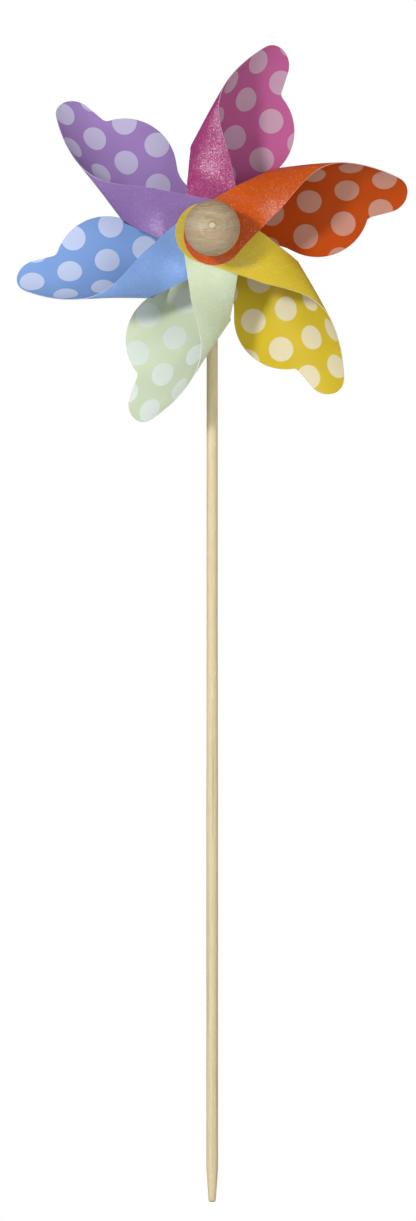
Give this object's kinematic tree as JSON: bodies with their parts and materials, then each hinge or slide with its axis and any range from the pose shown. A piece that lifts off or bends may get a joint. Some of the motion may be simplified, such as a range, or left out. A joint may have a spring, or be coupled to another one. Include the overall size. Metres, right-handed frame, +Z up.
{
  "type": "pinwheel",
  "caption": "Hand-held pinwheel: curled polka-dot plastic blades on a hub that spins on a steel pin through a wooden dowel, with a round wooden ball in front.",
  "frame": {"origin": "centre of the stick's lower tip, on the stick's own axis", "axes": "+Z up along the stick; the rotor is in front of the stick towards -Y and turns about the Y axis; +X to the right as seen from the front"},
  "size_m": [0.1954, 0.0786, 0.5783],
  "materials": {
    "stick_wood": "bare, lightly sanded",
    "ball_wood": "bare, turned",
    "bead_wood": "bare, turned",
    "steel": "bright drawn wire",
    "hub_plastic": "satin",
    "magenta_sheet": "satin, printed dots on the inner face",
    "purple_sheet": "satin, printed dots on the inner face",
    "blue_sheet": "satin, printed dots on the inner face",
    "mint_sheet": "satin, printed dots on the inner face",
    "yellow_sheet": "satin, printed dots on the inner face",
    "orange_sheet": "satin, printed dots on the inner face"
  },
  "bodies": {
    "frame": {"stick": "stick_wood", "axle": "steel", "front_ball": "ball_wood"},
    "rotor": {"hub_spool": "hub_plastic", "hub_front_cap": "hub_plastic", "hub_rear_cap": "hub_plastic", "blade_magenta": "magenta_sheet", "blade_purple": "purple_sheet", "blade_blue": "blue_sheet", "blade_mint": "mint_sheet", "blade_yellow": "yellow_sheet", "blade_orange": "orange_sheet"},
    "bead": {"spacer_bead": "bead_wood"},
    "washer_front": {"front_washer": "steel"},
    "washer_rear": {"rear_washer": "steel"}
  },
  "joints": [
    {"name": "rotor_spin", "type": "hinge", "parent": "frame", "child": "rotor", "pos_m": [0, -0.0291, 0.483], "axis": [0, 1, 0], "continuous": true},
    {"name": "bead_spin", "type": "hinge", "parent": "frame", "child": "bead", "pos_m": [0, -0.00715, 0.483], "axis": [0, 1, 0], "continuous": true},
    {"name": "front_washer_spin", "type": "hinge", "parent": "frame", "child": "washer_front", "pos_m": [0, -0.04635, 0.483], "axis": [0, 1, 0], "continuous": true},
    {"name": "rear_washer_spin", "type": "hinge", "parent": "frame", "child": "washer_rear", "pos_m": [0, -0.01185, 0.483], "axis": [0, 1, 0], "continuous": true}
  ]
}
